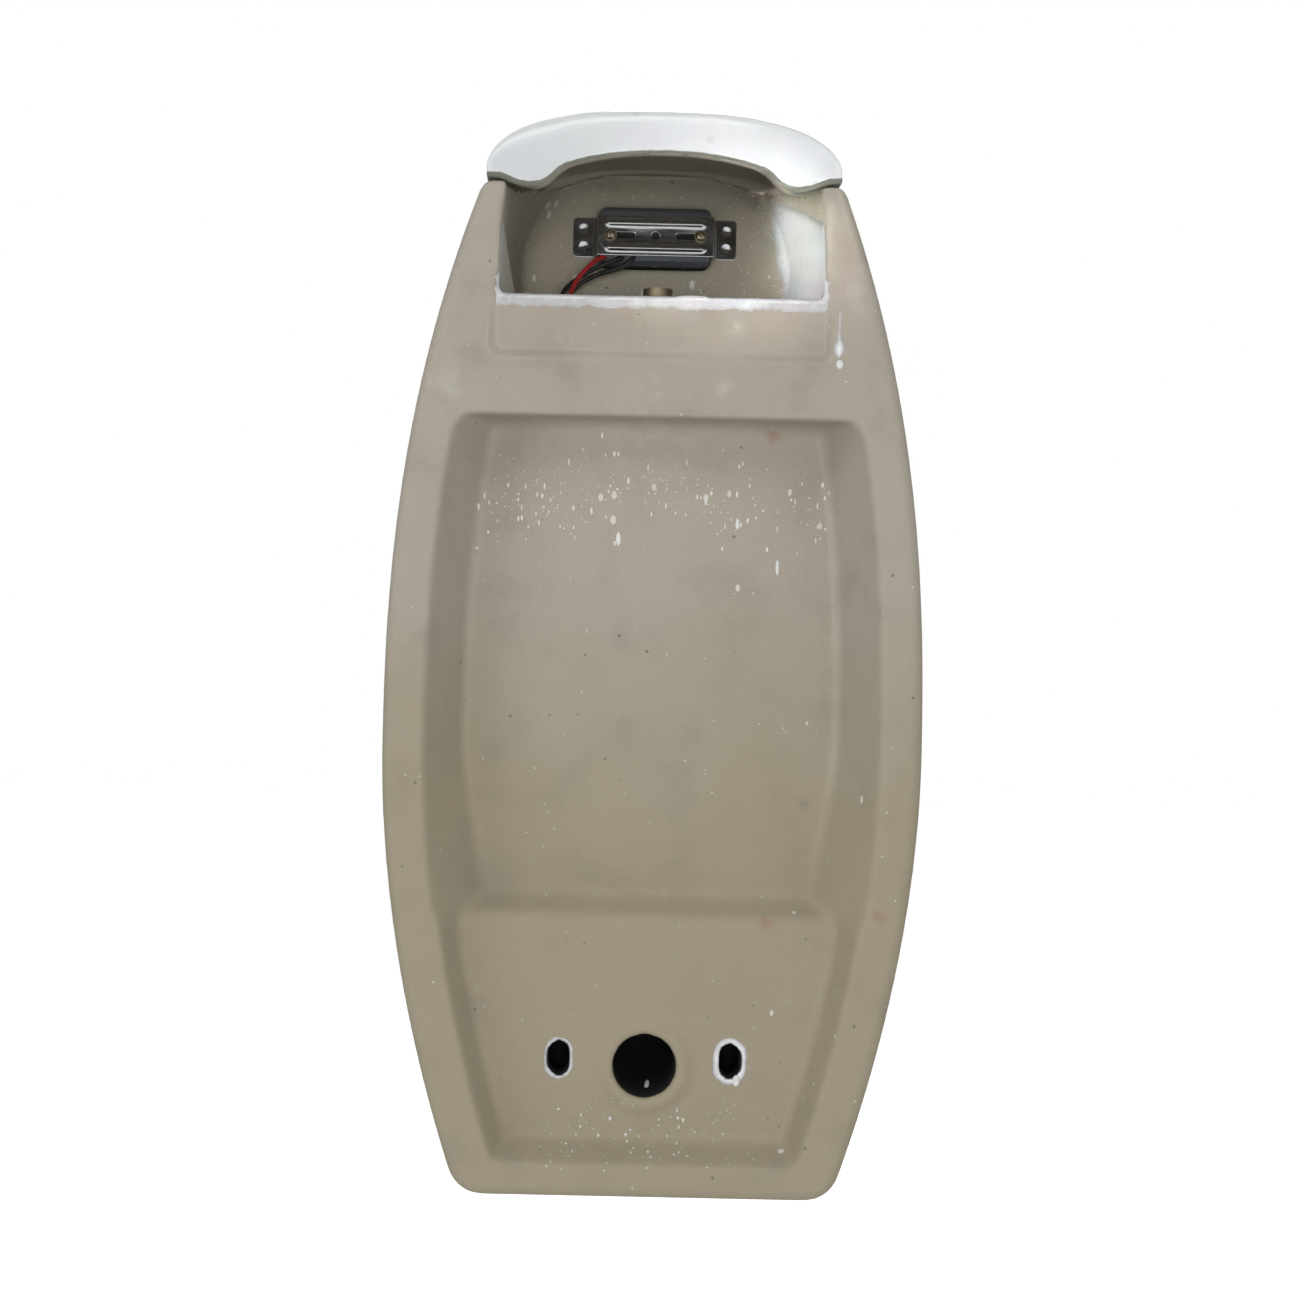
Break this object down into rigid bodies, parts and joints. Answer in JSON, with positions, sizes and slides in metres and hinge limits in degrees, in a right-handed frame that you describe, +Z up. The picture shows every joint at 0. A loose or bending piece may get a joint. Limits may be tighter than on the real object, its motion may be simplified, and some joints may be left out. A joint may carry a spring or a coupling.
{
  "type": "wall-hung urinal",
  "caption": "Wall-hung vitreous china urinal with a lift-off cover over a service compartment, a sensor flush valve and a trapway that leaves through the back.",
  "frame": {"origin": "on the wall's face, in the middle of the flat band that the body hangs by", "axes": "+Z up, +Y into the wall, the bowl opens towards -Y, +X to the left of the picture"},
  "size_m": [0.362, 0.332, 0.73],
  "materials": {
    "unglazed_and_glazed_china": "fired clay, bare and slightly rough on the back, glossy white glaze on the front and in the compartment",
    "white_glaze": "glossy white glaze",
    "black_rubber": "matt",
    "dark_plastic": "fine spark texture, dark blue-grey",
    "black_plastic": "moulded, satin",
    "chromed_steel": "polished",
    "bracket_steel": "bright zinc, lightly handled",
    "dark_window": "polished, passes infrared",
    "board_laminate": "green solder resist",
    "clear_epoxy": "clear moulded epoxy",
    "dark_epoxy": "dark moulded epoxy",
    "red_epoxy": "red moulded epoxy",
    "yellow_zinc": "yellow passivated zinc",
    "red_sleeving": "flexible insulation",
    "black_sleeving": "flexible insulation",
    "valve_brass": "turned, lightly tarnished",
    "stainless_steel": "turned",
    "cell_jacket": "plain printed jacket"
  },
  "bodies": {
    "urinal": {"china_body": "unglazed_and_glazed_china", "cover_pads": "black_rubber", "sensor_housing": "dark_plastic", "sensor_gasket": "black_rubber", "sensor_bezel": "chromed_steel", "sensor_window": "dark_window", "sensor_board": "board_laminate", "infrared_emitter": "clear_epoxy", "infrared_receiver": "dark_epoxy", "status_lamp": "red_epoxy", "mounting_bracket": "bracket_steel", "bracket_washers": "yellow_zinc", "bracket_screws": "yellow_zinc", "red_lead": "red_sleeving", "black_lead": "black_sleeving", "coil_lead": "black_sleeving", "valve_body": "valve_brass", "diaphragm": "black_rubber", "valve_bonnet": "black_plastic", "bonnet_screws": "stainless_steel", "core_tube": "stainless_steel", "plunger_spring": "stainless_steel", "solenoid_coil": "black_plastic", "coil_nut": "stainless_steel", "inlet_filter": "stainless_steel", "union_gasket": "black_rubber", "union_nut": "valve_brass", "spreader": "chromed_steel", "spreader_gasket": "black_rubber", "spreader_washer": "black_rubber", "spreader_nut": "valve_brass", "battery_box": "black_plastic", "battery_cells": "cell_jacket", "battery_contacts": "stainless_steel"},
    "cover": {"top_cover": "white_glaze"},
    "valve_plunger": {"plunger": "stainless_steel"},
    "stop_screw": {"flow_screw": "valve_brass"},
    "box_lid": {"battery_lid": "dark_plastic"},
    "drain_strainer": {"strainer": "chromed_steel"}
  },
  "joints": [
    {"name": "cover_lift", "type": "slide", "parent": "urinal", "child": "cover", "axis": [0, 0, 1], "range_m": [0, 0.12]},
    {"name": "plunger_slide", "type": "slide", "parent": "urinal", "child": "valve_plunger", "axis": [-1, 0, 0], "range_m": [0, 0.0025], "stiffness_N_per_m": 200, "springref_m": -0.004, "deforming": ["plunger_spring"]},
    {"name": "stop_screw_turn", "type": "hinge", "parent": "urinal", "child": "stop_screw", "pos_m": [0.018, -0.08, 0.048], "axis": [1, 0, 0], "range_deg": [0, 90]},
    {"name": "lid_slide", "type": "slide", "parent": "urinal", "child": "box_lid", "axis": [0, 1, 0], "range_m": [0, 0.024]},
    {"name": "strainer_lift", "type": "slide", "parent": "urinal", "child": "drain_strainer", "axis": [0, 0, 1], "range_m": [0, 0.06]}
  ]
}
